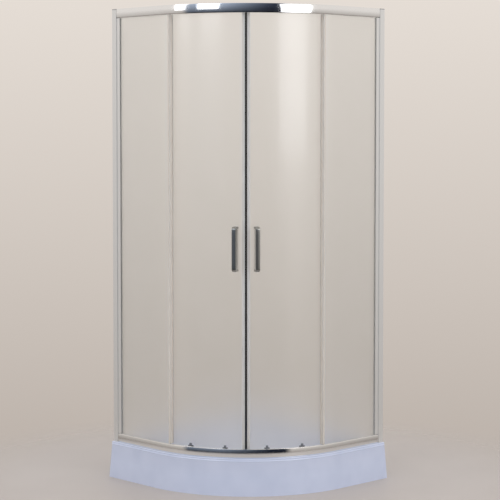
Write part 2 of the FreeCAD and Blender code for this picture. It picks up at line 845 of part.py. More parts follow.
# ---- rollers -------------------------------------------------------------------------------------
def wheel(radius, axle_radius, z):
    """A moulded wheel with a slightly crowned rim and a hub that stands out on both sides."""
    crown = 0.8
    hub = axle_radius + 2.5
    recess = 0.6
    web = radius - 2.2
    face = outline(
        [
            (wheel_in, axle_radius + running_fit),
            (wheel_in, hub),
            (wheel_in + recess, hub),
            (wheel_in + recess, web),
            (wheel_in, web),
            (wheel_in, radius - crown),
            (wheel_in + crown, radius),
            (wheel_out - crown, radius),
            (wheel_out, radius - crown),
            (wheel_out, web),
            (wheel_out - recess, web),
            (wheel_out - recess, hub),
            (wheel_out, hub),
            (wheel_out, axle_radius + running_fit),
        ],
        lambda r, away: vec(r, 0, z + away),
    )
    return face.revolve(vec(0, 0, z), vec(1, 0, 0), 360.0)


bush_flange = 1.0
stud_step = 0.6  # between the stud's shoulder and the wheel's hub
head_gap = 0.3
head_thickness = 1.0
cap_radius = 9.0
cap_depth = 8.0
cap_wall = 2.0
studs = []
bushes = []
caps = []
for angle in roller_angles:
    z = top_wheel_z
    bush = fused(
        [
            disc(stud_flange_radius + 1.0, door_out, door_out + bush_flange, z),
            disc(stud_hole_radius, door_in, door_out, z),
        ]
    )
    head = spoke(top_axle_radius + 1.2, wheel_out + head_gap, wheel_out + head_gap + head_thickness, z)
    stud = fused(
        [
            spoke(stud_radius, door_in - cap_depth + cap_wall, door_out + bush_flange + 1.0, z),
            disc(stud_flange_radius, door_out + bush_flange, plate_out, z),
            spoke(top_axle_radius + 1.5, plate_out - 0.5, wheel_in - stud_step, z),
            spoke(top_axle_radius, plate_out, wheel_out + head_gap, z),
            head,
        ]
    )
    inner_bush = disc(stud_flange_radius + 1.0, door_in - bush_flange, door_in, z).cut(stud)
    cap = spoke(cap_radius, door_in - bush_flange - cap_depth, door_in - bush_flange, z)
    cap = cap.makeFillet(2.0, [cap.Edges[2]]).cut(stud)
    cap = cap.cut(ring(door_in - bush_flange, rail_radius, z - clear, z + clear))
    studs.append(at_angle(stud, angle))
    bushes += [at_angle(bush.cut(stud), angle), at_angle(inner_bush, angle)]
    caps.append(at_angle(cap, angle))
    door_glass = door_glass.cut(at_angle(disc(stud_hole_radius, door_in, door_out, z), angle))

housing_half = 11.0
housing_low = rim + 14.0
housing_high = rail_high + 2.0
housing_out = plate_out + 7.2
slot_gap = 0.3
slider_in = plate_out + 1.8
slider_out = slider_in + 3.4
slider_half = 4.7
slider_low = bottom_wheel_z - 4.0
axle_shoulder = bottom_axle_radius + 1.3
axle_way_half = axle_shoulder + slot_gap
housing_screw_z = rim + 30.0
housing_screw_radius = 2.5
housing_spigot_radius = 4.0
housings = []
housing_screws = []
sliders = []
for angle in roller_angles:
    plate = block(door_out - 2.0, plate_out, -housing_half, housing_half, door_low + 2.0, housing_high)
    plate = plate.common(ring(door_out, rail_radius, rim, rail_high + clear))
    case = block(plate_out - 0.5, housing_out, -housing_half, housing_half, housing_low, housing_high)
    screw = fused(
        [
            spoke(housing_screw_radius, door_in - 2.0, plate_out - 0.4, housing_screw_z),
            disc(cap_radius - 2.0, door_in - bush_flange - 2.5, door_in - bush_flange, housing_screw_z),
            spoke(housing_screw_radius, door_in - bush_flange - 1.0, door_in, housing_screw_z),
        ]
    )
    spigot = disc(housing_spigot_radius, door_in, door_out, housing_screw_z)
    pad = disc(cap_radius - 1.0, door_in - bush_flange, door_in, housing_screw_z).cut(screw)
    housing = fused([plate, case, spigot])
    guide = block(
        slider_in - slot_gap,
        slider_out + slot_gap,
        -slider_half - slot_gap,
        slider_half + slot_gap,
        rim,
        rail_high + clear,
    )
    axle_way = block(
        slider_out,
        housing_out + 1.0,
        -axle_way_half,
        axle_way_half,
        rim,
        bottom_wheel_z + lift_travel + axle_way_half,
    )
    housing = housing.cut(guide).cut(axle_way).cut(screw)
    bar = block(slider_in, slider_out, -slider_half, slider_half, slider_low, housing_high + 1.0)
    button_low = housing_high + slot_gap
    button = block(
        slider_in - 1.2,
        housing_out,
        -button_width / 2,
        button_width / 2,
        button_low,
        button_low + button_height,
    )
    slope = outline(
        [
            (slider_in + 2.4, button_low + button_height),
            (housing_out, button_low + button_height),
            (housing_out, button_low + 2.5),
        ],
        lambda r, z: vec(r, -button_width, z),
    ).extrude(vec(0, 2 * button_width))
    axle = spoke(bottom_axle_radius, slider_in + 1.0, wheel_out + head_gap, bottom_wheel_z)
    shoulder = spoke(axle_shoulder, slider_out - 0.5, wheel_in - stud_step, bottom_wheel_z)
    end_r = wheel_out + head_gap + head_thickness
    head = spoke(bottom_axle_radius + 1.2, wheel_out + head_gap, end_r, bottom_wheel_z)
    slider = fused([bar, button.cut(slope), axle, shoulder, head])
    housings.append(at_angle(housing, angle))
    housing_screws += [at_angle(screw, angle), at_angle(pad, angle)]
    sliders.append(at_angle(slider, angle))
    door_glass = door_glass.cut(at_angle(spigot, angle))

write_pair("door_glass", door_glass)
write_pair("magnet_strip", magnet)
write_pair("magnetic_seal", magnetic_seal)
write_pair("tail_seal", tail_seal)
write_pair("outer_handle", outer_handle)
write_pair("inner_handle", inner_handle)
write_pair("handle_bolts", Part.makeCompound(bolts))
write_pair("handle_washers", Part.makeCompound(washers))
write_pair("top_roller_studs", Part.makeCompound(studs))
write_pair("roller_bushes", Part.makeCompound(bushes))
write_pair("roller_cap_nuts", Part.makeCompound(caps))
write_pair("bottom_roller_housings", Part.makeCompound(housings))
write_pair("housing_screws", Part.makeCompound(housing_screws))
for place, angle, slider in zip(("lead", "tail"), roller_angles, sliders):
    top_wheel = at_angle(wheel(top_wheel_radius, top_axle_radius, top_wheel_z), angle)
    low_wheel = at_angle(wheel(bottom_wheel_radius, bottom_axle_radius, bottom_wheel_z), angle)
    write_pair("top_wheel_" + place, top_wheel)
    write_pair("bottom_wheel_" + place, low_wheel)
    write_pair("release_slider_" + place, slider)

# ---- door stops: rubber blocks in the top track, just past the open doors' rear wheels -----------
stop_length = 15.0
stop_height = slot_roof + rail_skin - top_floor - 1.0  # passes under the upper end block
stop_gap = 1.0
trail_run = math.dist(trail_open, (track_radius * math.sqrt(0.5), track_radius * math.sqrt(0.5)))
stop_u = centre_from_wall - trail_run - top_wheel_radius - stop_gap
stop = straight(
    box_points(track_in, track_out, top_floor, top_floor + stop_height), stop_u - stop_length, stop_u
)
write_both("door_stops", [stop])
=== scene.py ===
"""The looks of a quadrant shower enclosure, built up in the order in which it is put together."""

import math

import bmesh
import bpy
from mathutils import Matrix, Vector


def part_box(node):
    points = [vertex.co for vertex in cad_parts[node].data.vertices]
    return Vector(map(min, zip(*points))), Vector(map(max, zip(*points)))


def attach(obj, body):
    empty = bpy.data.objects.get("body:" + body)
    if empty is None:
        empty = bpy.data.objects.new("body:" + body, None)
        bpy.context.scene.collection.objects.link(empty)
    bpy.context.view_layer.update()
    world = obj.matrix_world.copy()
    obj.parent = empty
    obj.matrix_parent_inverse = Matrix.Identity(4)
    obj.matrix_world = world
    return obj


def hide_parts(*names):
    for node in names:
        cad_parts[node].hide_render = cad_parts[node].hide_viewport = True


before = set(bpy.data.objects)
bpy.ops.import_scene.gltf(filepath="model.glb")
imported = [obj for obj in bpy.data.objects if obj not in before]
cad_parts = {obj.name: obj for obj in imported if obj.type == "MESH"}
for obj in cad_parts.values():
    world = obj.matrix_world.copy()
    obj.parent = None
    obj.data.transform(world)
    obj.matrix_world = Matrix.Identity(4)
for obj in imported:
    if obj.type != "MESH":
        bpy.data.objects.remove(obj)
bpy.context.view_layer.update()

# ---- tray ----------------------------------------------------------------------------------------
# One shell of cast acrylic sheet, drawn hot over a mould: a leaning skirt, a rounded rim and a sunk
# basin, with laminate sprayed on behind.  It stands on its own frame and is pushed into the corner.
mm = 0.001
tray_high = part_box("tray")[1]
wall = tray_high.y  # the two square sides are the planes x = -wall and y = wall
rim = tray_high.z
skirt_lean = 18 * mm
skirt_setback = 1.2 * mm  # the skirt starts this far behind the rim's edge
rim_band = 13 * mm  # height of the rim's edge above the skirt
rim_radius = 4 * mm
groove_below = 6.6 * mm  # a shallow groove runs round the rim's edge, this far below its top
groove_depth = 1.4 * mm
front_radius = 578 * mm  # plan radius of the tray's front at its foot
tray_side = 2 * wall
bend_from_wall = tray_side - front_radius
shell = 4 * mm
basin_gap = 46 * mm
basin_front = 82 * mm
basin_corner = 45 * mm
basin_edge = 7 * mm  # radius of the basin's upper edge
basin_draft = 12 * mm
basin_floor = 108 * mm
laminate = 10 * mm
drain_from_walls = 300 * mm
dish_radius = 240 * mm
dish_depth = 4 * mm
drain_seat = 62 * mm
drain_hole = 44 * mm
wall_edge = 60 * mm  # height of the skirt that is left on the square sides
wall_edge_return = 60 * mm  # width of the full skirt at each end of them
centre = Vector((-wall + bend_from_wall, wall - bend_from_wall, 0))
drain = Vector((-wall + drain_from_walls, wall - drain_from_walls, 0))


def linear(colour):
    """An sRGB hex colour as the linear values that a shader takes."""
    parts = [int(colour[i : i + 2], 16) / 255 for i in (1, 3, 5)]
    return [v / 12.92 if v <= 0.04045 else ((v + 0.055) / 1.055) ** 2.4 for v in parts] + [1.0]


def add(tree, kind, inputs=(), **settings):
    """Adds a node with its settings; an input is a value, a socket, or a node for its first output."""
    node = tree.nodes.new(kind)
    for name, value in settings.items():
        setattr(node, name, value)
    for name, value in dict(inputs).items():
        socket = node.inputs[name]
        if isinstance(value, bpy.types.Node):
            value = value.outputs[0]
        if isinstance(value, bpy.types.NodeSocket):
            tree.links.new(value, socket)
        else:
            socket.default_value = value
    return node


def new_finish(name, colour, roughness, metallic=0.0):
    """A material with its tree, its shader, and the place on the piece, for what varies over it."""
    material = bpy.data.materials.new(name)
    material.use_nodes = True
    shader = material.node_tree.nodes["Principled BSDF"]
    shader.inputs["Base Color"].default_value = linear(colour)
    shader.inputs["Roughness"].default_value = roughness
    shader.inputs["Metallic"].default_value = metallic
    place = add(material.node_tree, "ShaderNodeTexCoord").outputs["Object"]
    return material, material.node_tree, shader, place


def quadrant_ring(gap, side, corner, z):
    """The plan outline, its three square corners rounded, and gap its distance from both square sides."""
    near, far = -wall + gap, -wall + side
    corner = max(corner, 0.2 * mm)
    corner_steps = 6
    front_steps = 96
    points = []

    def quarter(cx, cy, radius, start, count):
        for i in range(count + 1):
            turn = math.radians(start - 90 * i / count)
            points.append(Vector((cx + radius * math.cos(turn), cy + radius * math.sin(turn), z)))

    quarter(near + corner, -near - corner, corner, 180, corner_steps)
    quarter(far - corner, -near - corner, corner, 90, corner_steps)
    quarter(centre.x, centre.y, side - bend_from_wall, 0, front_steps)
    quarter(near + corner, -far + corner, corner, 270, corner_steps)
    return points


def basin_ring(grow, z):
    """The basin's outline, larger by grow all round."""
    side = tray_side - skirt_lean - basin_front + grow
    return quadrant_ring(basin_gap - grow, side, basin_corner + grow, z)


def round_ring(radius, z):
    """A ring about the drain, with its points in line with those of the basin's outline."""
    ring = []
    for point in basin_ring(-basin_draft, z):
        away = (point - drain).xy.normalized() * radius
        ring.append(Vector((drain.x + away.x, drain.y + away.y, z)))
    return ring


def loft(name, rings, closed=False):
    """A mesh through rings of equal length; closed joins the last ring to the first."""
    mesh = bpy.data.meshes.new(name)
    count = len(rings[0])
    faces = []
    for i in range(len(rings) if closed else len(rings) - 1):
        low, high = i * count, (i + 1) % len(rings) * count
        for j in range(count):
            k = (j + 1) % count
            faces.append((low + j, low + k, high + k, high + j))
    if not closed:
        faces += [tuple(reversed(range(count))), tuple((len(rings) - 1) * count + j for j in range(count))]
    mesh.from_pydata([point for ring in rings for point in ring], [], faces)
    return mesh


def smooth(mesh, angle=32):
    """Welds the mesh, points its faces outwards, and shades it smooth but for its sharp edges."""
    weld = 0.002 * mm
    form = bmesh.new()
    form.from_mesh(mesh)
    bmesh.ops.remove_doubles(form, verts=form.verts, dist=weld)
    bmesh.ops.dissolve_degenerate(form, edges=form.edges, dist=weld)
    bmesh.ops.recalc_face_normals(form, faces=form.faces)
    form.to_mesh(mesh)
    form.free()
    mesh.shade_smooth()
    mesh.set_sharp_from_angle(angle=math.radians(angle))
    return mesh


def new_piece(name, mesh, *materials):
    """An object at the origin with this mesh and its materials."""
    piece = bpy.data.objects.new(name, mesh)
    bpy.context.scene.collection.objects.link(piece)
    for material in materials:
        if material.name not in mesh.materials:
            mesh.materials.append(material)
    return piece


def settle(piece):
    """Turns the piece with its modifiers into a plain mesh."""
    graph = bpy.context.evaluated_depsgraph_get()
    mesh = bpy.data.meshes.new_from_object(piece.evaluated_get(graph))
    piece.modifiers.clear()
    piece.data = mesh
    return mesh


def stand_for(piece, body, slot, *nodes):
    """Puts the piece on its body, in the place of the CAD nodes that it stands for."""
    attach(piece, body)
    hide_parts(*nodes)


# Cast acrylic: deep even gloss, with the slow waviness that thermoforming leaves and faint wipe marks
# in the gloss.
acrylic, tree, shader, place = new_finish("cast_acrylic", "#d4dbf0", 0.16)
shader.inputs["Coat Weight"].default_value = 0.25
shader.inputs["Coat Roughness"].default_value = 0.06
wave = add(tree, "ShaderNodeTexNoise", {"Vector": place, "Scale": 1 / 0.09, "Detail": 1.5})
wipe = add(tree, "ShaderNodeTexNoise", {"Vector": place, "Scale": 1 / 0.02, "Detail": 5.0, "Roughness": 0.6})
gloss = add(tree, "ShaderNodeMapRange", {0: wipe, 1: 0.35, 2: 0.75, 3: 0.13, 4: 0.22})
tone = add(tree, "ShaderNodeMapRange", {0: wave, 1: 0.3, 2: 0.7, 3: 0.0, 4: 1.0})
tint = add(tree, "ShaderNodeMix", {0: tone, 6: linear("#d0d8ed"), 7: linear("#d7def2")}, data_type="RGBA")
lift = add(tree, "ShaderNodeBump", {"Height": wave, "Strength": 0.25, "Distance": 0.6 * mm})
tree.links.new(tint.outputs[2], shader.inputs["Base Color"])
tree.links.new(gloss.outputs[0], shader.inputs["Roughness"])
tree.links.new(lift.outputs[0], shader.inputs["Normal"])


def tray_rings():
    """From the skirt's lower edge up, over the rim, down into the drain and back under it all."""
    rim_side = tray_side - skirt_lean
    skirt_top = rim - rim_band
    lean = skirt_lean / rim
    ease = 0.8 * mm  # half the height of the small bends in the skirt and the groove
    beside = 2 * mm  # from an edge to the ring that keeps it crisp
    arc_steps = 6

    def side_at(z):
        return tray_side - lean * z

    rings = [quadrant_ring(0, side_at(z) - skirt_setback, 0, z) for z in (0, beside, skirt_top / 2)]
    for above, share in ((-2 * ease, 1.0), (-ease, 0.8), (0, 0.2), (ease, 0.0)):
        rings.append(quadrant_ring(0, side_at(skirt_top) - share * skirt_setback, 0, skirt_top + above))
    for below, share in ((groove_below + 2 * ease, 0.0), (groove_below + ease, 0.7), (groove_below, 1.0),
                         (groove_below - ease, 0.7), (rim_radius + 0.2 * mm, 0.0)):
        rings.append(quadrant_ring(0, rim_side - share * groove_depth, 0, rim - below))
    rim_steps = 8
    for i in range(rim_steps + 1):
        turn = math.radians(90 * i / rim_steps)
        inset = rim_radius * (1 - math.cos(turn))
        drop = rim_radius * (1 - math.sin(turn))
        rings.append(quadrant_ring(0, rim_side - inset, 0, rim - drop))
    rings.append(quadrant_ring(1 * mm, rim_side - rim_radius - beside, 1 * mm, rim))
    rings.append(basin_ring(basin_edge + beside, rim))
    for i in range(arc_steps + 1):
        turn = math.radians(90 * i / arc_steps)
        rings.append(basin_ring(basin_edge * (1 - math.sin(turn)), rim - basin_edge * (1 - math.cos(turn))))
    slope = basin_draft / (rim - basin_floor)
    low = basin_floor + basin_draft
    low_grow = -slope * (rim - low)
    rings.append(basin_ring(low_grow + 1 * mm, low + beside))
    for i in range(arc_steps + 1):
        turn = math.radians(90 * i / arc_steps)
        grow = low_grow - basin_draft * (1 - math.cos(turn))
        rings.append(basin_ring(grow, low - basin_draft * math.sin(turn)))
    rings.append(basin_ring(-basin_draft * 2 - 2 * beside, basin_floor))
    rings.append(round_ring(dish_radius, basin_floor - 0.2 * mm))
    rings.append(round_ring(drain_seat + beside, basin_floor - dish_depth + 0.1 * mm))
    rings.append(round_ring(drain_seat - 1 * mm, basin_floor - dish_depth))
    rings.append(round_ring(drain_hole, basin_floor - dish_depth))
    under = basin_floor - laminate
    rings.append(round_ring(drain_hole, under))
    rings.append(basin_ring(shell - basin_draft, under))
    rings.append(basin_ring(shell, rim - shell))
    rings.append(quadrant_ring(shell, rim_side - shell - skirt_setback, 0, rim - shell))
    rings.append(quadrant_ring(shell, side_at(0) - shell - skirt_setback, 0, 0))
    return rings


def wall_openings():
    """The boxes that are left out of the skirt's two square sides, for the waste pipe."""
    start, end = wall_edge_return - wall, tray_side - skirt_lean - wall_edge_return - wall
    deep = 2 * (shell + 1 * mm)
    low, high = -10 * mm, rim - wall_edge
    form = bmesh.new()
    for turned in (False, True):
        made = bmesh.ops.create_cube(form, size=1.0)["verts"]
        size = (end - start, deep, high - low)
        middle = ((start + end) / 2, wall, (high + low) / 2)
        if turned:
            size = (size[1], size[0], size[2])
            middle = (-middle[1], -middle[0], middle[2])
        bmesh.ops.scale(form, vec=size, verts=made)
        bmesh.ops.translate(form, vec=middle, verts=made)
    mesh = bpy.data.meshes.new("wall_openings")
    form.to_mesh(mesh)
    form.free()
    return new_piece("wall_openings", mesh)


tray = new_piece("tray_shell", smooth(loft("tray_shell", tray_rings(), closed=True)), acrylic)
openings = wall_openings()
cut = tray.modifiers.new("wall_openings", "BOOLEAN")
cut.object = openings
cut.operation = "DIFFERENCE"
cut.solver = "EXACT"
smooth(settle(tray))
bpy.data.objects.remove(openings)
stand_for(tray, "root", "acrylic", "tray")

# ---- frame and feet ------------------------------------------------------------------------------
# Square steel tubes under the basin, welded and zinc plated, on five nylon feet that screw up and down.


def finish_nodes(material, *nodes):
    """Gives carried-over nodes their finish."""
    for node in nodes:
        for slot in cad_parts[node].material_slots:
            slot.material = material


zinc, tree, shader, place = new_finish("zinc_plated_steel", "#8b9096", 0.38, 1.0)
grains = add(tree, "ShaderNodeTexVoronoi", {"Vector": place, "Scale": 1 / 0.007})
cloud = add(tree, "ShaderNodeTexNoise", {"Vector": place, "Scale": 1 / 0.03, "Detail": 3.0})
dull = add(tree, "ShaderNodeMapRange", {0: cloud, 1: 0.3, 2: 0.7, 3: 0.3, 4: 0.5})
spangle = grains.outputs["Distance"]
tint = add(tree, "ShaderNodeMix", {0: spangle, 6: linear("#7f858c"), 7: linear("#a2a7ac")}, data_type="RGBA")
tree.links.new(tint.outputs[2], shader.inputs["Base Color"])
tree.links.new(dull.outputs[0], shader.inputs["Roughness"])
finish_nodes(zinc, "tray_frame")

# Nylon, moulded: a matt, slightly uneven black.
nylon, tree, shader, place = new_finish("moulded_nylon", "#1c1c1e", 0.55)
grit = add(tree, "ShaderNodeTexNoise", {"Vector": place, "Scale": 1 / 0.0015, "Detail": 2.0})
rough = add(tree, "ShaderNodeMapRange", {0: grit, 1: 0.3, 2: 0.7, 3: 0.45, 4: 0.65})
lift = add(tree, "ShaderNodeBump", {"Height": grit, "Strength": 0.3, "Distance": 0.1 * mm})
tree.links.new(rough.outputs[0], shader.inputs["Roughness"])
tree.links.new(lift.outputs[0], shader.inputs["Normal"])
finish_nodes(nylon, "tray_feet")

# ---- drain ---------------------------------------------------------------------------------------
# A stamped stainless flange is screwed down to the trap through the basin's hole, on a rubber gasket.
# A chromed cover drops into it and lifts out for cleaning.
steel, tree, shader, place = new_finish("turned_stainless_steel", "#b7b8ba", 0.3, 1.0)
marks = add(tree, "ShaderNodeTexNoise", {"Vector": place, "Scale": 1 / 0.0012, "Detail": 3.0})
rough = add(tree, "ShaderNodeMapRange", {0: marks, 1: 0.3, 2: 0.7, 3: 0.22, 4: 0.4})
tree.links.new(rough.outputs[0], shader.inputs["Roughness"])
finish_nodes(steel, "drain_flange")

# Chrome plate on brass or zinc: a bright mirror with a faint haze where it is wiped.
chrome, tree, shader, place = new_finish("chrome_plate", "#c9cccf", 0.07, 1.0)
haze = add(tree, "ShaderNodeTexNoise", {"Vector": place, "Scale": 1 / 0.012, "Detail": 4.0})
rough = add(tree, "ShaderNodeMapRange", {0: haze, 1: 0.35, 2: 0.75, 3: 0.05, 4: 0.13})
tree.links.new(rough.outputs[0], shader.inputs["Roughness"])
finish_nodes(chrome, "drain_cover")

# Black rubber, pressed: no gloss, a little dust in the grain.
rubber, tree, shader, place = new_finish("pressed_rubber", "#161617", 0.8)
dust = add(tree, "ShaderNodeTexNoise", {"Vector": place, "Scale": 1 / 0.004, "Detail": 4.0})
tint = add(tree, "ShaderNodeMix", {0: dust, 6: linear("#101011"), 7: linear("#262627")}, data_type="RGBA")
tree.links.new(tint.outputs[2], shader.inputs["Base Color"])
finish_nodes(rubber, "drain_gasket")

# Polypropylene, moulded: a waxy light grey.
polypropylene, tree, shader, place = new_finish("moulded_polypropylene", "#c4c5c6", 0.42)
flow = add(tree, "ShaderNodeTexNoise", {"Vector": place, "Scale": 1 / 0.02, "Detail": 2.0})
tint = add(tree, "ShaderNodeMix", {0: flow, 6: linear("#bcbdbf"), 7: linear("#cfd0d0")}, data_type="RGBA")
tree.links.new(tint.outputs[2], shader.inputs["Base Color"])
finish_nodes(polypropylene, "drain_trap")

# ---- wall profiles and glazing profiles ----------------------------------------------------------
# Aluminium extrusions, cut to length and bright anodised.  The wall profile is screwed on upright, and
# the glazing profile slides in it to take up what is out of true, held by three screws.
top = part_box("top_rail")[1].z

# Bright anodised aluminium: a silvery sheen under an oxide film that scatters part of the light, with
# the die's fine lines running up the profile, drawn a millimetre apart, coarser than real ones.
anodised, tree, shader, place = new_finish("bright_anodised_aluminium", "#e8e7e4", 0.34, 0.6)
along = add(tree, "ShaderNodeMapping", {"Vector": place, "Scale": (1 / mm, 1 / mm, 0.3)})
die = add(tree, "ShaderNodeTexNoise", {"Vector": along, "Scale": 1.0, "Detail": 2.0})
rough = add(tree, "ShaderNodeMapRange", {0: die, 1: 0.3, 2: 0.7, 3: 0.3, 4: 0.4})
lift = add(tree, "ShaderNodeBump", {"Height": die, "Strength": 0.06, "Distance": 0.05 * mm})
tree.links.new(rough.outputs[0], shader.inputs["Roughness"])
tree.links.new(lift.outputs[0], shader.inputs["Normal"])
finish_nodes(anodised, "wall_profile_left", "wall_profile_right")
finish_nodes(anodised, "glazing_profile_left", "glazing_profile_right")

# ABS, moulded and chromed: the small caps on the profiles and on the rollers.
chromed_abs, tree, shader, place = new_finish("chromed_abs", "#b4b6b9", 0.16, 1.0)
peel = add(tree, "ShaderNodeTexNoise", {"Vector": place, "Scale": 1 / 0.003, "Detail": 2.0})
lift = add(tree, "ShaderNodeBump", {"Height": peel, "Strength": 0.15, "Distance": 0.05 * mm})
rough = add(tree, "ShaderNodeMapRange", {0: peel, 1: 0.3, 2: 0.7, 3: 0.12, 4: 0.24})
tree.links.new(lift.outputs[0], shader.inputs["Normal"])
tree.links.new(rough.outputs[0], shader.inputs["Roughness"])
finish_nodes(chromed_abs, "profile_caps")


# Pan-head screws with a cross recess, which hold the glazing profile where it was set.
def pan_screw(head_radius, head_height, shank_radius, length):
    """A screw that points up: its head on the origin, its shank below."""
    sides = 24
    point = 1 * mm
    turns = [(0.0, head_height)]
    turns += [(head_radius * math.sin(a), head_height * (0.45 + 0.55 * math.cos(a)))
              for a in (math.radians(t) for t in (20, 40, 60, 75, 90))]
    turns += [(head_radius, 0.0), (shank_radius, 0.0), (shank_radius, -length + point), (0.0, -length)]
    rings = []
    for radius, z in turns:
        radius = max(radius, 0.01 * mm)
        rings.append([
            Vector((radius * math.cos(a), radius * math.sin(a), z))
            for a in (math.tau * i / sides for i in range(sides))
        ])
    screw = new_piece("pan_screw", smooth(loft("pan_screw", rings)))
    form = bmesh.new()
    recess_width, recess_length, recess_depth = 0.28 * head_radius, 1.15 * head_radius, 0.55 * head_height
    for size in ((recess_length, recess_width), (recess_width, recess_length)):
        made = bmesh.ops.create_cube(form, size=1.0)["verts"]
        bmesh.ops.scale(form, vec=(size[0], size[1], 2 * recess_depth), verts=made)
        bmesh.ops.translate(form, vec=(0, 0, head_height), verts=made)
    mesh = bpy.data.meshes.new("cross_recess")
    form.to_mesh(mesh)
    form.free()
    recess = new_piece("cross_recess", mesh)
    cut = screw.modifiers.new("cross_recess", "BOOLEAN")
    cut.object = recess
    cut.operation = "DIFFERENCE"
    cut.solver = "EXACT"
    smooth(settle(screw))
    bpy.data.objects.remove(recess)
    return screw


def screws_tree():
    """Sets a screw on every point of the input, its head towards the point's aim."""
    tree = bpy.data.node_groups.new("screws_on_points", "GeometryNodeTree")
    face = tree.interface
    face.new_socket("Geometry", in_out="OUTPUT", socket_type="NodeSocketGeometry")
    face.new_socket("Points", in_out="INPUT", socket_type="NodeSocketGeometry")
    face.new_socket("Screw", in_out="INPUT", socket_type="NodeSocketObject")
    face.new_socket("Metal", in_out="INPUT", socket_type="NodeSocketMaterial")
    given = add(tree, "NodeGroupInput").outputs
    screw = add(tree, "GeometryNodeObjectInfo", {"Object": given["Screw"], "As Instance": True})
    aim = add(tree, "GeometryNodeInputNamedAttribute", {"Name": "aim"}, data_type="FLOAT_VECTOR")
    turn = add(tree, "FunctionNodeAlignRotationToVector", {"Vector": aim}, axis="Z")
    dots = add(tree, "GeometryNodeMeshToPoints", {"Mesh": given["Points"]})
    set_in = add(tree, "GeometryNodeInstanceOnPoints",
                 {"Points": dots, "Instance": screw.outputs["Geometry"], "Rotation": turn})
    real = add(tree, "GeometryNodeRealizeInstances", {"Geometry": set_in})
    coated = add(tree, "GeometryNodeSetMaterial", {"Geometry": real, "Material": given["Metal"]})
    add(tree, "NodeGroupOutput", {"Geometry": coated})
    return tree


def give(modifier, name, value):
    """Sets an input of a node tree's modifier by the input's identifier."""
    for item in modifier.node_group.interface.items_tree:
        if item.item_type == "SOCKET" and item.in_out == "INPUT" and item.name == name:
            modifier[item.identifier] = value


def set_screws(name, places, screw, metal):
    """Screws of one kind as one piece; a place is a point and the way the head faces."""
    mesh = bpy.data.meshes.new(name)
    mesh.from_pydata([point for point, _ in places], [], [])
    aims = mesh.attributes.new("aim", "FLOAT_VECTOR", "POINT")
    for i, (_, way) in enumerate(places):
        aims.data[i].vector = way
    piece = new_piece(name, mesh)
    modifier = piece.modifiers.new("screws", "NODES")
    modifier.node_group = screw_setter
    give(modifier, "Screw", screw)
    give(modifier, "Metal", metal)
    smooth(settle(piece), angle=40)
    return piece


def mirrored(point):
    """The same point or direction in the left half."""
    return Vector((-point[1], -point[0], point[2]))


screw_setter = screws_tree()
screw_from_wall = 22 * mm
screw_end_gap = 200 * mm
profile_back = 533 * mm  # plan radius of the wall profile's inner face
side_screw = pan_screw(head_radius=4 * mm, head_height=2.4 * mm, shank_radius=1.9 * mm, length=6 * mm)
screw_rows = [rim + screw_end_gap + (top - rim - 2 * screw_end_gap) * row / 2 for row in range(3)]
screw_x, screw_y = centre.x + profile_back, wall - screw_from_wall
places = [(Vector((screw_x, screw_y, z)), Vector((-1, 0, 0))) for z in screw_rows]
places += [(mirrored(point), mirrored(way)) for point, way in places]
profile_screws = set_screws("profile_screws_set", places, side_screw, steel)
bpy.data.objects.remove(side_screw)
stand_for(profile_screws, "root", "steel", "profile_screws")

# ---- rails ---------------------------------------------------------------------------------------
# Two aluminium extrusions, each with a slot for the fixed glass and a track for the wheels, bent to a
# quarter circle between two straight ends, then polished and bright dipped like a mirror.
rail_radius = 550 * mm  # plan radius of the rails' outer face
half_bend = math.radians(45)
seam_azimuth = -45  # degrees
top_height = 40 * mm
bottom_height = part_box("bottom_rail")[1].z - rim
bulge = 1.2 * mm
skin = 2 * mm
lip = 1.5 * mm
rail_depth = 42 * mm
slot_depth = 14 * mm
rail_end = 30.5 * mm  # from the square side's plane
gasket = 1.5 * mm
glass = 5 * mm
track = 12 * mm
leg_in = rail_radius - bulge - skin
fixed_out = leg_in - gasket
fixed_in = fixed_out - glass
slot_in = fixed_in - gasket
track_out = slot_in - skin
track_in = track_out - track
lip_in = track_in - lip
rail_low = top - top_height
rail_high = rim + bottom_height
edge_out = rail_radius - bulge

# Bright dipped aluminium: a mirror with fine lines left along the rail by the polishing, drawn about
# half a millimetre apart, coarser than real ones.
mirror_rail, tree, shader, place = new_finish("bright_dipped_aluminium", "#f1f2f3", 0.06, 1.0)
level = add(tree, "ShaderNodeSeparateXYZ", {"Vector": place})
lines = add(tree, "ShaderNodeTexNoise", {"W": level.outputs["Z"], "Scale": 1 / (0.5 * mm), "Detail": 2.0},
            noise_dimensions="1D")
haze = add(tree, "ShaderNodeTexNoise", {"Vector": place, "Scale": 1 / 0.03, "Detail": 3.0})
blend = add(tree, "ShaderNodeMath", {0: lines, 1: haze}, operation="MULTIPLY")
rough = add(tree, "ShaderNodeMapRange", {0: blend, 1: 0.1, 2: 0.4, 3: 0.06, 4: 0.13})
lift = add(tree, "ShaderNodeBump", {"Height": lines, "Strength": 0.03, "Distance": 0.02 * mm})
tree.links.new(rough.outputs[0], shader.inputs["Roughness"])
tree.links.new(lift.outputs[0], shader.inputs["Normal"])


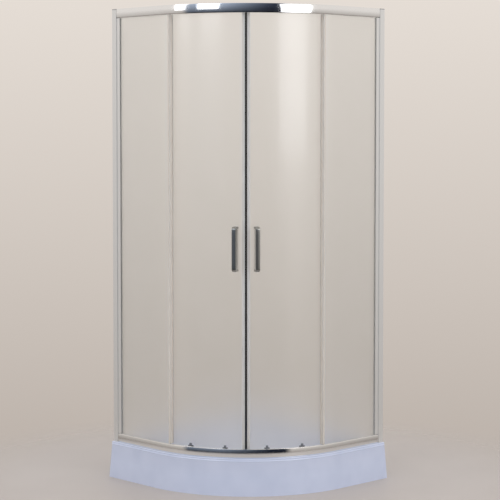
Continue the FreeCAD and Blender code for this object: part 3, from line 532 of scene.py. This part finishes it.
def front_run_tree():
    """Runs a section along the front of the enclosure: an arc, and straight on past its bend.

    The path is measured from the doors' seam.  A point s along it lies on the arc until the arc has
    turned by Bend, and then on the tangent.
    """
    tree = bpy.data.node_groups.new("front_run", "GeometryNodeTree")
    face = tree.interface
    face.new_socket("Geometry", in_out="OUTPUT", socket_type="NodeSocketGeometry")
    face.new_socket("Section", in_out="INPUT", socket_type="NodeSocketGeometry")
    for name in ("Radius", "From", "To", "Step", "Bend"):
        face.new_socket(name, in_out="INPUT", socket_type="NodeSocketFloat")
    face.new_socket("Finish", in_out="INPUT", socket_type="NodeSocketMaterial")
    given = add(tree, "NodeGroupInput").outputs
    start = add(tree, "ShaderNodeCombineXYZ", {"X": given["From"]})
    end = add(tree, "ShaderNodeCombineXYZ", {"X": given["To"]})
    line = add(tree, "GeometryNodeCurvePrimitiveLine", {"Start": start, "End": end})
    dotted = add(tree, "GeometryNodeResampleCurve", {"Curve": line, "Length": given["Step"]}, mode="LENGTH")
    run = add(tree, "ShaderNodeSeparateXYZ", {"Vector": add(tree, "GeometryNodeInputPosition")})
    least = add(tree, "ShaderNodeMath", {0: given["Bend"], 1: -1.0}, operation="MULTIPLY")
    angle = add(tree, "ShaderNodeMath", {0: run, 1: given["Radius"]}, operation="DIVIDE")
    turn = add(tree, "ShaderNodeClamp", {"Value": angle, "Min": least, "Max": given["Bend"]})
    on_arc = add(tree, "ShaderNodeMath", {0: turn, 1: given["Radius"]}, operation="MULTIPLY")
    past = add(tree, "ShaderNodeMath", {0: run, 1: on_arc}, operation="SUBTRACT")
    cosine = add(tree, "ShaderNodeMath", {0: turn}, operation="COSINE")
    sine = add(tree, "ShaderNodeMath", {0: turn}, operation="SINE")
    x_arc = add(tree, "ShaderNodeMath", {0: cosine, 1: given["Radius"]}, operation="MULTIPLY")
    y_arc = add(tree, "ShaderNodeMath", {0: sine, 1: given["Radius"]}, operation="MULTIPLY")
    x_past = add(tree, "ShaderNodeMath", {0: sine, 1: past}, operation="MULTIPLY")
    x = add(tree, "ShaderNodeMath", {0: x_arc, 1: x_past}, operation="SUBTRACT")
    y = add(tree, "ShaderNodeMath", {0: cosine, 1: past, 2: y_arc}, operation="MULTIPLY_ADD")
    spot = add(tree, "ShaderNodeCombineXYZ", {"X": x, "Y": y})
    path = add(tree, "GeometryNodeSetPosition", {"Geometry": dotted, "Position": spot})
    level = add(tree, "GeometryNodeSetCurveNormal", {"Curve": path}, mode="Z_UP")
    section = add(tree, "GeometryNodeMeshToCurve", {"Mesh": given["Section"]})
    swept = add(tree, "GeometryNodeCurveToMesh",
                {"Curve": level, "Profile Curve": section, "Fill Caps": True})
    real = add(tree, "GeometryNodeRealizeInstances", {"Geometry": swept})
    coated = add(tree, "GeometryNodeSetMaterial", {"Geometry": real, "Material": given["Finish"]})
    add(tree, "NodeGroupOutput", {"Geometry": coated})
    return tree


front_run = front_run_tree()


def eased(points, radius, steps=3):
    """The outline with each corner rounded, by less where a side is too short."""
    out = []
    count = len(points)
    nearly_straight = math.radians(82)  # half the angle at a point that needs no rounding
    longest_cut = 0.4  # share of a side that a rounding may take
    for i, here in enumerate(points):
        here = Vector(here)
        back, ahead = Vector(points[i - 1]) - here, Vector(points[(i + 1) % count]) - here
        half = back.angle(ahead, math.pi) / 2
        if half > nearly_straight:
            out.append(here)
            continue
        cut = min(radius / math.tan(half), longest_cut * back.length, longest_cut * ahead.length)
        inner = cut * math.tan(half)
        start, end = here + back.normalized() * cut, here + ahead.normalized() * cut
        middle = here + (back.normalized() + ahead.normalized()).normalized() * (inner / math.sin(half))
        for step in range(steps + 1):
            spoke = (start - middle).lerp(end - middle, step / steps)
            out.append(middle + spoke.normalized() * inner)
    return out


def along_front(name, outline, start, end, finish, step, radius):
    """A piece of one section along the front; start and end are lengths at radius from the seam."""
    mesh = bpy.data.meshes.new(name)
    count = len(outline)
    edges = [(i, (i + 1) % count) for i in range(count)]
    mesh.from_pydata([(r - radius, -z, 0) for r, z in outline], edges, [])
    piece = new_piece(name, mesh)
    modifier = piece.modifiers.new("front_run", "NODES")
    modifier.node_group = front_run
    for key, value in (("Radius", radius), ("From", start), ("To", end), ("Step", step),
                       ("Bend", half_bend), ("Finish", finish)):
        give(modifier, key, value)
    mesh = settle(piece)
    mesh.transform(Matrix.Translation(centre) @ Matrix.Rotation(math.radians(seam_azimuth), 4, "Z"))
    smooth(mesh)
    return piece


def bulged(low, high):
    """The points of the rail's outward-curved face, from its lower edge to its upper one."""
    steps = 12
    points = []
    for i in range(steps + 1):
        across = 2 * i / steps - 1
        points.append((edge_out + bulge * (1 - across ** 2), low + (high - low) * i / steps))
    return points


slot_roof = rail_low + slot_depth
top_track = 6 * mm  # height of the top track's floor above the rail's lower edge
top_floor = rail_low + top_track
top_lip = 4 * mm
bottom_lip = 5 * mm
slot_floor = rail_high - slot_depth
bottom_floor = rim + skin
half_run = rail_radius * half_bend + bend_from_wall - rail_end
top_section = bulged(rail_low, top) + [
    (rail_radius - rail_depth, top),
    (rail_radius - rail_depth, top - skin),
    (leg_in, top - skin),
    (leg_in, slot_roof + skin),
    (track_out, slot_roof + skin),
    (track_out, top_floor),
    (track_in, top_floor),
    (track_in, top_floor + top_lip),
    (lip_in, top_floor + top_lip),
    (lip_in, top_floor - skin),
    (track_out, top_floor - skin),
    (track_out, rail_low),
    (slot_in, rail_low),
    (slot_in, slot_roof),
    (leg_in, slot_roof),
    (leg_in, rail_low),
]
bottom_section = bulged(rim, rail_high) + [
    (leg_in, rail_high),
    (leg_in, slot_floor),
    (slot_in, slot_floor),
    (slot_in, rail_high),
    (track_out, rail_high),
    (track_out, bottom_floor),
    (track_in, bottom_floor),
    (track_in, bottom_floor + bottom_lip),
    (lip_in, bottom_floor + bottom_lip),
    (lip_in, rim),
]
edge_round = 0.5 * mm
rail_step = 5 * mm
for name, section in (("top_rail", top_section), ("bottom_rail", bottom_section)):
    outline = eased(section, edge_round)
    extrusion = name + "_extrusion"
    rail = along_front(extrusion, outline, -half_run, half_run, mirror_rail, rail_step, rail_radius)
    stand_for(rail, "root", "chrome", name)

# The blocks that close the rails' ends and hold them to the wall profiles, with their screws.
# Glass-filled nylon, moulded: a fine satin grey.
grey_nylon, tree, shader, place = new_finish("glass_filled_nylon", "#6f7276", 0.42)
grit = add(tree, "ShaderNodeTexNoise", {"Vector": place, "Scale": 1 / 0.001, "Detail": 2.0})
flow = add(tree, "ShaderNodeTexNoise", {"Vector": place, "Scale": 1 / 0.006, "Detail": 2.0})
tint = add(tree, "ShaderNodeMix", {0: flow, 6: linear("#62656a"), 7: linear("#7d8085")}, data_type="RGBA")
lift = add(tree, "ShaderNodeBump", {"Height": grit, "Strength": 0.25, "Distance": 0.06 * mm})
tree.links.new(tint.outputs[2], shader.inputs["Base Color"])
tree.links.new(lift.outputs[0], shader.inputs["Normal"])
finish_nodes(grey_nylon, "rail_end_blocks")
finish_nodes(steel, "rail_screws")

# ---- fixed glass ---------------------------------------------------------------------------------
# Five millimetres of toughened glass each, bent at the free end, etched with acid over its whole face
# and polished on its edges, held in the rails' slots and the glazing profile by a vinyl channel.
edge_angle = math.radians(38)
glazing_end = 51 * mm
glazing_groove = 14 * mm
groove_floor = glazing_end - glazing_groove
fixed_low = rim + bottom_height - slot_depth + gasket
fixed_high = rail_low + slot_depth - gasket

# Acid-etched glass: light comes through and shapes behind it blur away, while the smooth outer face
# keeps a soft gloss.  The etch's grain, a tenth of a millimetre, is drawn as a faint millimetre grain,
# with slow clouds where the acid bit deeper.
etched, tree, shader, place = new_finish("acid_etched_glass", "#fafaf9", 0.39)
shader.inputs["IOR"].default_value = 1.5
shader.inputs["Transmission Weight"].default_value = 1.0
shader.inputs["Specular IOR Level"].default_value = 0.15
shader.inputs["Coat Weight"].default_value = 0.75
shader.inputs["Coat Roughness"].default_value = 0.15
grain = add(tree, "ShaderNodeTexNoise", {"Vector": place, "Scale": 1 / (1.2 * mm), "Detail": 2.0})
cloud = add(tree, "ShaderNodeTexNoise", {"Vector": place, "Scale": 1 / 0.12, "Detail": 3.0})
rough = add(tree, "ShaderNodeMapRange", {0: cloud, 1: 0.3, 2: 0.7, 3: 0.36, 4: 0.42})
tint = add(tree, "ShaderNodeMix", {0: cloud, 6: linear("#f7f8f6"), 7: linear("#fcfcfb")}, data_type="RGBA")
lift = add(tree, "ShaderNodeBump", {"Height": grain, "Strength": 0.12, "Distance": 0.08 * mm})
tree.links.new(tint.outputs[2], shader.inputs["Base Color"])
tree.links.new(rough.outputs[0], shader.inputs["Roughness"])
tree.links.new(lift.outputs[0], shader.inputs["Normal"])

# The glass's polished edge: clear, a little green, with faint grinding lines.
clear_edge, tree, shader, place = new_finish("polished_glass_edge", "#dfe8e4", 0.08)
shader.inputs["IOR"].default_value = 1.5
shader.inputs["Transmission Weight"].default_value = 1.0
lines = add(tree, "ShaderNodeTexNoise", {"Vector": place, "Scale": 1 / (2 * mm), "Detail": 3.0})
rough = add(tree, "ShaderNodeMapRange", {0: lines, 1: 0.3, 2: 0.7, 3: 0.05, 4: 0.16})
tree.links.new(rough.outputs[0], shader.inputs["Roughness"])


def pane(name, inner, outer, low, high, start, end):
    """A glass pane along the front, with its faces etched and its edges polished."""
    arris = 0.7 * mm
    middle = (inner + outer) / 2
    outline = [
        (inner, low + arris), (inner + arris, low), (outer - arris, low), (outer, low + arris),
        (outer, high - arris), (outer - arris, high), (inner + arris, high), (inner, high - arris),
    ]
    pane_step = 9 * mm
    piece = along_front(name, outline, start, end, etched, pane_step, outer)
    mesh = piece.data
    mesh.materials.append(clear_edge)
    sliver = 0.2 * mm * (high - low)  # every face of the edges is smaller
    for face in mesh.polygons:
        if abs(face.normal.z) > 0.3 or face.area < sliver or len(face.vertices) > 4:
            face.material_index = 1
    return piece


for side, sign in (("right", 1), ("left", -1)):
    straight_end = fixed_out * half_bend + bend_from_wall - groove_floor - gasket
    run = sorted((sign * fixed_out * edge_angle, sign * straight_end))
    fixed = pane("fixed_pane_" + side, fixed_in, fixed_out, fixed_low, fixed_high, *run)
    stand_for(fixed, "root", "frosted_glass", "fixed_glass_" + side)


# Milky vinyl, extruded: it lets light glow through but no shapes, under a satin skin.  The thin fins of
# the edge seals are a little warmer than the thick strips that carry the magnets.
def milky_vinyl(name, colour):
    finish, tree, shader, place = new_finish(name, colour, 0.38)
    shader.inputs["Subsurface Weight"].default_value = 1.0
    glow = 6 * mm
    shader.inputs["Subsurface Radius"].default_value = (glow, glow, glow)
    shader.inputs["Subsurface Scale"].default_value = 1.0
    along = add(tree, "ShaderNodeMapping", {"Vector": place, "Scale": (1 / mm, 1 / mm, 3.0)})
    draw = add(tree, "ShaderNodeTexNoise", {"Vector": along, "Scale": 1.0, "Detail": 1.0})
    rough = add(tree, "ShaderNodeMapRange", {0: draw, 1: 0.3, 2: 0.7, 3: 0.33, 4: 0.48})
    tree.links.new(rough.outputs[0], shader.inputs["Roughness"])
    return finish


pale_vinyl = milky_vinyl("pale_milky_vinyl", "#f3e2d2")
finish_nodes(pale_vinyl, "fixed_edge_seals")

# Soft grey vinyl, for the channel in which the fixed glass is bedded.
grey_vinyl, tree, shader, place = new_finish("soft_grey_vinyl", "#dcdcd8", 0.5)
flow = add(tree, "ShaderNodeTexNoise", {"Vector": place, "Scale": 1 / 0.01, "Detail": 2.0})
tint = add(tree, "ShaderNodeMix", {0: flow, 6: linear("#d6d7d3"), 7: linear("#e2e2de")}, data_type="RGBA")
tree.links.new(tint.outputs[2], shader.inputs["Base Color"])
finish_nodes(grey_vinyl, "fixed_glass_gaskets")

# ---- doors ---------------------------------------------------------------------------------------
# Two panes bent to the rails' curve, etched like the fixed glass.  A vinyl extrusion is pushed on each
# edge: a fin on the rear one, and on the meeting edges a strip that carries a black magnet band.
lip_to_fittings = 4.5 * mm
fitting_plate = 2.5 * mm
door_out = lip_in - lip_to_fittings - fitting_plate
door_in = door_out - glass
door_low, door_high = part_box("door_glass_right")[0].z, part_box("door_glass_right")[1].z
magnet_gap = 0.3 * mm
magnet_width = 4.6 * mm
seal_skin = 1 * mm
door_edge = (magnet_gap + magnet_width + seal_skin) / door_out
door_overlap = math.radians(1.3)  # how far a door goes on behind the fixed glass
door_tail = edge_angle + door_overlap
for side, sign in (("right", 1), ("left", -1)):
    run = sorted((sign * door_out * door_edge, sign * door_out * door_tail))
    door = pane("door_pane_" + side, door_in, door_out, door_low, door_high, *run)
    stand_for(door, "door_" + side, "frosted_glass", "door_glass_" + side)
finish_nodes(pale_vinyl, "tail_seal_left", "tail_seal_right")
vinyl = milky_vinyl("milky_vinyl", "#ece6df")
finish_nodes(vinyl, "magnetic_seal_left", "magnetic_seal_right")

# Magnet rubber: ferrite powder in rubber, almost black, with hardly any gloss.
magnet, tree, shader, place = new_finish("magnet_rubber", "#0c0b10", 0.6)
shader.inputs["Specular IOR Level"].default_value = 0.15
grit = add(tree, "ShaderNodeTexNoise", {"Vector": place, "Scale": 1 / 0.0008, "Detail": 2.0})
tint = add(tree, "ShaderNodeMix", {0: grit, 6: linear("#0a090e"), 7: linear("#121016")}, data_type="RGBA")
tree.links.new(tint.outputs[2], shader.inputs["Base Color"])
finish_nodes(magnet, "magnet_strip_left", "magnet_strip_right")

# ---- handles -------------------------------------------------------------------------------------
# A flat bow of cast zinc outside and a second inside, clamped to the glass by two bolts with vinyl
# washers.  Each is ground to a crowned face and plated.
handle_low, handle_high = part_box("outer_handle_right")[0].z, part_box("outer_handle_right")[1].z
handle_z = (handle_low + handle_high) / 2
handle_length = handle_high - handle_low
handle_reach = 38 * mm
handle_width = 18 * mm
handle_thick = 9 * mm
handle_bend = 14 * mm
handle_offset = 42 * mm  # of the feet, from the doors' seam
handle_foot = math.degrees(handle_offset / door_out)
handle_lean = 12  # degrees by which the bow leans away from the seam
washer = 0.8 * mm

# Satin nickel plate on ground zinc: a dark, even metallic grey, with the fine scratches of the grinding
# belt along it, drawn about half a millimetre apart.
satin_plate, tree, shader, place = new_finish("satin_nickel_plate", "#9fa09d", 0.32, 1.0)
along = add(tree, "ShaderNodeMapping", {"Vector": place, "Scale": (2 / mm, 2 / mm, 0.02 / mm)})
belt = add(tree, "ShaderNodeTexNoise", {"Vector": along, "Scale": 1.0, "Detail": 2.0})
rough = add(tree, "ShaderNodeMapRange", {0: belt, 1: 0.3, 2: 0.7, 3: 0.28, 4: 0.36})
tint = add(tree, "ShaderNodeMix", {0: belt, 6: linear("#989996"), 7: linear("#a6a7a4")}, data_type="RGBA")
tree.links.new(rough.outputs[0], shader.inputs["Roughness"])
tree.links.new(tint.outputs[2], shader.inputs["Base Color"])


def bow_path():
    """The bow's middle line from foot to foot: how far from the glass, and how high, with its turn."""
    turn_radius = handle_bend - handle_thick / 2
    out = handle_reach - handle_thick / 2
    half = handle_length / 2 - handle_thick / 2
    bend_steps, bar_steps = 12, 8
    off_glass, before_bend = 6 * mm, 2 * mm
    foot = [(washer, -half, 0.0), (off_glass, -half, 0.0), (out - turn_radius - before_bend, -half, 0.0)]
    for step in range(bend_steps + 1):
        turn = math.radians(90 * step / bend_steps)
        foot.append((out - turn_radius + turn_radius * math.sin(turn),
                     -half + turn_radius - turn_radius * math.cos(turn), turn))
    bar = half - turn_radius
    middle = [(out, -bar + 2 * bar * step / bar_steps, math.radians(90)) for step in range(1, bar_steps)]
    return foot + middle + [(away, -height, math.pi - turn) for away, height, turn in reversed(foot)]


def bow_section():
    """The bar's outline: flat at the back, crowned at the front, with rounded edges."""
    half_width, half_thick, crown = handle_width / 2, handle_thick / 2, 0.7 * mm
    front = [(half_width * (i / 4 - 1), half_thick - crown * (i / 4 - 1) ** 2) for i in range(9)]
    outline = [(-half_width, -half_thick)] + front + [(half_width, -half_thick)]
    corner_round = 2.2 * mm
    return eased(outline, corner_round, steps=4)


def bow(name, face, outward, side):
    """One bow on the glass face at plan radius face, on the right or the left door."""
    rings = []
    for away, height, turn in bow_path():
        ring = []
        for across, out in bow_section():
            reach = away + out * math.sin(turn)
            rise = height - out * math.cos(turn)
            ring.append(Vector((face + outward * reach, across, handle_z + rise)))
        rings.append(ring)
    mesh = loft(name, rings)
    on_face = Matrix.Translation((face, 0, 0))
    lean = on_face @ Matrix.Rotation(math.radians(outward * handle_lean), 4, "Z") @ on_face.inverted()
    turn = Matrix.Rotation(math.radians(handle_foot + seam_azimuth), 4, "Z")
    mesh.transform(Matrix.Translation(centre) @ turn @ lean)
    if side == "left":
        mirror = Matrix(((0, -1, 0, 0), (-1, 0, 0, 0), (0, 0, 1, 0), (0, 0, 0, 1)))
        mesh.transform(mirror)
    return new_piece(name, smooth(mesh, angle=40), satin_plate)


for side in ("right", "left"):
    outer_bow = bow("outer_bow_" + side, door_out, 1, side)
    stand_for(outer_bow, "door_" + side, "chrome", "outer_handle_" + side)
    inner_bow = bow("inner_bow_" + side, door_in, -1, side)
    stand_for(inner_bow, "door_" + side, "chrome", "inner_handle_" + side)
    finish_nodes(steel, "handle_bolts_" + side)
    finish_nodes(vinyl, "handle_washers_" + side)

# ---- rollers -------------------------------------------------------------------------------------
# Each door hangs on two top wheels, on studs through the glass, and is kept in line by two bottom
# wheels on sprung sliders.  Pushing a slider's button up lets the door swing clear for cleaning.
for side in ("right", "left"):
    finish_nodes(steel, "top_roller_studs_" + side, "housing_screws_" + side)
    finish_nodes(vinyl, "roller_bushes_" + side)
    finish_nodes(chromed_abs, "roller_cap_nuts_" + side)
    finish_nodes(grey_nylon, "bottom_roller_housings_" + side)
    finish_nodes(grey_nylon, "release_slider_lead_" + side, "release_slider_tail_" + side)

# Acetal, moulded: a dense, slightly waxy white, greyed a little where it rolls.
acetal, tree, shader, place = new_finish("moulded_acetal", "#dedcd6", 0.3)
wear = add(tree, "ShaderNodeTexNoise", {"Vector": place, "Scale": 1 / 0.003, "Detail": 3.0})
tint = add(tree, "ShaderNodeMix", {0: wear, 6: linear("#d2d0ca"), 7: linear("#e6e4df")}, data_type="RGBA")
tree.links.new(tint.outputs[2], shader.inputs["Base Color"])
for side in ("right", "left"):
    for level in ("top", "bottom"):
        finish_nodes(acetal, "%s_wheel_lead_%s" % (level, side), "%s_wheel_tail_%s" % (level, side))

# Rubber stops in the top track, which the open doors' wheels run up against.
finish_nodes(rubber, "door_stops")

# ---- floor and light -----------------------------------------------------------------------------
# A plain pale floor that fades into the backdrop, three soft boxes and an even light from all round.
floor_radius = 3.2
fade_start, fade_end = 0.85, 1.75  # the floor fades out between these distances
form = bmesh.new()
bmesh.ops.create_circle(form, cap_ends=True, radius=floor_radius, segments=128)
mesh = bpy.data.meshes.new("floor")
form.to_mesh(mesh)
form.free()
floor_finish, tree, shader, place = new_finish("plain_floor", "#cfc5bd", 0.55)
away = add(tree, "ShaderNodeVectorMath", {0: place}, operation="LENGTH")
fade = add(tree, "ShaderNodeMapRange",
           {0: away.outputs["Value"], 1: fade_start, 2: fade_end, 3: 0.0, 4: 1.0},
           interpolation_type="SMOOTHERSTEP")
mottle = add(tree, "ShaderNodeTexNoise", {"Vector": place, "Scale": 1 / 0.25, "Detail": 3.0})
tint = add(tree, "ShaderNodeMix", {0: mottle, 6: linear("#ccc2ba"), 7: linear("#d2c8c0")}, data_type="RGBA")
tree.links.new(tint.outputs[2], shader.inputs["Base Color"])
gone = add(tree, "ShaderNodeBsdfTransparent")
shown = add(tree, "ShaderNodeMixShader", {0: fade, 1: shader, 2: gone})
tree.links.new(shown.outputs[0], tree.nodes["Material Output"].inputs["Surface"])
floor = new_piece("floor", mesh, floor_finish)

# The backdrop is what the camera sees, paler above and darker below, and more so through the glass.
# Bright metal sees one that is darker still below, and dim bluish surroundings on the camera's side.
world = bpy.data.worlds.new("studio")
bpy.context.scene.world = world
world.use_nodes = True
tree = world.node_tree
way = add(tree, "ShaderNodeTexCoord").outputs["Generated"]
height = add(tree, "ShaderNodeSeparateXYZ", {"Vector": way})
level = add(tree, "ShaderNodeMapRange", {0: height.outputs["Z"], 1: -0.22, 2: 0.12, 3: 0.0, 4: 1.0})
backdrop = add(tree, "ShaderNodeMix", {0: level, 6: linear("#b8aea6"), 7: linear("#ebe3db")},
               data_type="RGBA")
behind = add(tree, "ShaderNodeMix", {0: level, 6: linear("#aaa199"), 7: linear("#f4ece4")}, data_type="RGBA")
mirror_level = add(tree, "ShaderNodeMapRange", {0: height.outputs["Z"], 1: -0.2, 2: 0.1, 3: 0.0, 4: 1.0})
mirror_back = add(tree, "ShaderNodeMix", {0: mirror_level, 6: linear("#918982"), 7: linear("#e9e3dd")},
                  data_type="RGBA")
dim_azimuth = math.radians(34)
dim_way = (math.sin(dim_azimuth), -math.cos(dim_azimuth), 0)
facing = add(tree, "ShaderNodeVectorMath", {0: way, 1: dim_way}, operation="DOT_PRODUCT")
in_dim = add(tree, "ShaderNodeMapRange", {0: facing.outputs["Value"], 1: 0.6, 2: 0.68, 3: 0.0, 4: 1.0})
dim_level = add(tree, "ShaderNodeMapRange", {0: height.outputs["Z"], 1: -0.2, 2: 0.32, 3: 0.0, 4: 1.0})
to_right = add(tree, "ShaderNodeMapRange", {0: height.outputs["X"], 1: 0.35, 2: 0.92, 3: 0.0, 4: 1.0})
dim_side = add(tree, "ShaderNodeMix", {0: to_right, 6: linear("#b0bccf"), 7: linear("#2a3142")},
               data_type="RGBA")
dim = add(tree, "ShaderNodeMix", {0: dim_level, 6: linear("#0e1018"), 7: dim_side.outputs[2]},
          data_type="RGBA")
mirrored_view = add(tree, "ShaderNodeMix", {0: in_dim, 6: mirror_back.outputs[2], 7: dim.outputs[2]},
                    data_type="RGBA")
rays = add(tree, "ShaderNodeLightPath")
view = add(tree, "ShaderNodeMix", {0: rays.outputs["Is Glossy Ray"], 6: backdrop.outputs[2],
                                   7: mirrored_view.outputs[2]}, data_type="RGBA")
view = add(tree, "ShaderNodeMix", {0: rays.outputs["Is Transmission Ray"], 6: view.outputs[2],
                                   7: behind.outputs[2]}, data_type="RGBA")
seen = add(tree, "ShaderNodeMath", {0: rays.outputs["Is Camera Ray"], 1: rays.outputs["Is Glossy Ray"]},
           operation="MAXIMUM")
seen = add(tree, "ShaderNodeMath", {0: seen, 1: rays.outputs["Is Transmission Ray"]}, operation="MAXIMUM")
lit = add(tree, "ShaderNodeBackground", {"Color": linear("#f3f5fa"), "Strength": 0.8})
shown = add(tree, "ShaderNodeBackground", {"Color": view.outputs[2], "Strength": 1.0})
mixed = add(tree, "ShaderNodeMixShader", {0: seen, 1: lit, 2: shown})
tree.links.new(mixed.outputs[0], tree.nodes["World Output"].inputs["Surface"])


def soft_box(name, azimuth, distance, height, width, tall, radiance):
    """An area light that stands upright at an azimuth, and faces the enclosure."""
    lamp = bpy.data.lights.new(name, "AREA")
    lamp.shape = "RECTANGLE"
    lamp.size, lamp.size_y = width, tall
    lamp.energy = radiance * math.pi * width * tall
    lamp.color = linear("#fbfcff")[:3]
    box = bpy.data.objects.new(name, lamp)
    turn = math.radians(azimuth)
    box.location = (distance * math.sin(turn), -distance * math.cos(turn), height)
    aim_height = 1.3
    aim = Vector((0, 0, min(height, aim_height))) - box.location
    box.rotation_euler = aim.to_track_quat("-Z", "Y").to_euler()
    bpy.context.scene.collection.objects.link(box)


soft_box("soft_box_right", azimuth=90, distance=3.2, height=2.12, width=1.65, tall=1.45, radiance=2.4)
soft_box("soft_box_left", azimuth=9, distance=3.2, height=2.7, width=1.2, tall=1.2, radiance=2.0)
soft_box("soft_box_far_left", azimuth=-19, distance=3.2, height=2.7, width=0.65, tall=1.2, radiance=2.0)

# ---- camera --------------------------------------------------------------------------------------
# It stands at the photograph's distance and height, and looks a little down.
lens_mm = 118.2
camera_at = Vector((5.3313, -5.0701, 1.6014))
camera_way = Vector((-0.72275, 0.68907, -0.05296))
camera = bpy.data.cameras.new("camera")
camera.lens = lens_mm
camera.sensor_width = 36.0
camera.shift_y = -0.08
camera.clip_end = 50.0
viewer = bpy.data.objects.new("camera", camera)
viewer.location = camera_at
viewer.rotation_euler = camera_way.to_track_quat("-Z", "Y").to_euler()
bpy.context.scene.collection.objects.link(viewer)
bpy.context.scene.camera = viewer
bpy.context.scene.view_settings.view_transform = "Standard"
